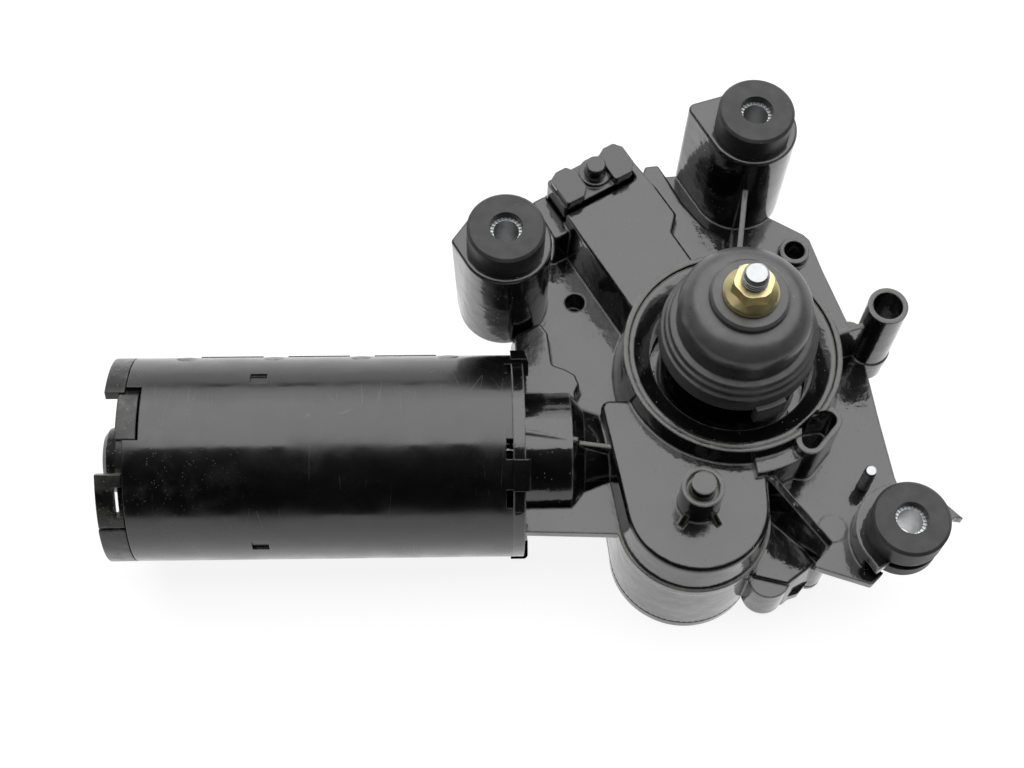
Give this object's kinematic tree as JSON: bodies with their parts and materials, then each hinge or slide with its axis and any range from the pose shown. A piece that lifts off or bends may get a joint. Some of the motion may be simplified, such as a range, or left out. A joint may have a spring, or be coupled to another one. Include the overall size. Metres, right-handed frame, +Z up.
{
  "type": "wiper motor",
  "caption": "Windscreen wiper motor: a round motor beside a die-cast worm gearbox, with an upright output shaft under a rubber boot and rubber mounting grommets.",
  "frame": {"origin": "on the output shaft's axis, level with the top face of its nut", "axes": "+Z up the output shaft towards its threaded end; +X along the motor's axis, from the motor towards the gearbox; +Y away from the motor's axis, across the mounting plate"},
  "size_m": [0.2827, 0.1667, 0.114],
  "materials": {
    "satin_black_steel": "satin black paint over a drawn steel yoke",
    "black_casting": "glossy black electrocoat over die-cast aluminium",
    "grey_rubber": "moulded charcoal rubber",
    "yellow_zinc": "yellow passivated zinc plate on steel",
    "bright_zinc": "bright zinc plate on turned steel",
    "ground_steel": "ground and lightly oiled steel",
    "sintered_bronze": "oil filled sintered bronze",
    "ferrite": "sintered ferrite",
    "laminated_steel": "stacked core laminations",
    "enamelled_copper": "enamelled copper wire",
    "copper": "bare copper bars",
    "carbon": "pressed carbon",
    "brass_strip": "stamped brass",
    "spring_steel": "drawn spring wire",
    "board": "phenolic laminate",
    "wheel_resin": "moulded acetal resin",
    "black_resin": "moulded black resin",
    "gasket": "flat nitrile gasket"
  },
  "bodies": {
    "housing": {"yoke_can": "satin_black_steel", "locking_tabs": "satin_black_steel", "end_cap": "satin_black_steel", "magnet_pair": "ferrite", "rear_bush": "sintered_bronze", "front_bearing": "sintered_bronze", "brush_plate": "board", "brushes": "carbon", "brush_boxes": "brass_strip", "brush_springs": "spring_steel", "thrust_screw": "black_resin", "gear_housing": "black_casting", "gear_cover": "black_casting", "cover_gasket": "gasket", "cover_screws": "bright_zinc", "axle_pin": "black_casting", "park_contacts": "brass_strip", "upper_bush": "sintered_bronze", "lower_bush": "sintered_bronze", "collar_disc": "black_casting", "rubber_boot": "grey_rubber", "ground_stud": "bright_zinc", "bay_cap": "black_resin", "cap_pin": "black_resin", "grommet_left": "grey_rubber", "sleeve_left": "bright_zinc", "grommet_back": "grey_rubber", "sleeve_back": "bright_zinc", "grommet_front": "grey_rubber", "sleeve_front": "bright_zinc"},
    "armature": {"armature_shaft": "ground_steel", "armature_core": "laminated_steel", "armature_winding": "enamelled_copper", "commutator": "copper"},
    "wheel": {"worm_wheel": "wheel_resin", "wheel_pinion": "ground_steel"},
    "output": {"output_shaft": "bright_zinc", "output_gear": "ground_steel", "park_ring": "brass_strip", "shaft_clip": "spring_steel", "flange_nut": "yellow_zinc"}
  },
  "joints": [
    {"name": "armature_spin", "type": "hinge", "parent": "housing", "child": "armature", "pos_m": [-0.147, -0.0258, -0.075], "axis": [1, 0, 0], "continuous": true},
    {"name": "wheel_spin", "type": "hinge", "parent": "housing", "child": "wheel", "pos_m": [-0.014, -0.0506, -0.075], "axis": [0, 0, 1], "continuous": true},
    {"name": "output_spin", "type": "hinge", "parent": "housing", "child": "output", "pos_m": [0, 0, -0.092], "axis": [0, 0, 1], "continuous": true}
  ],
  "couplings": [
    {"joint": "wheel_spin", "follows": "armature_spin", "ratio": 0.05},
    {"joint": "output_spin", "follows": "armature_spin", "ratio": -0.016667}
  ]
}
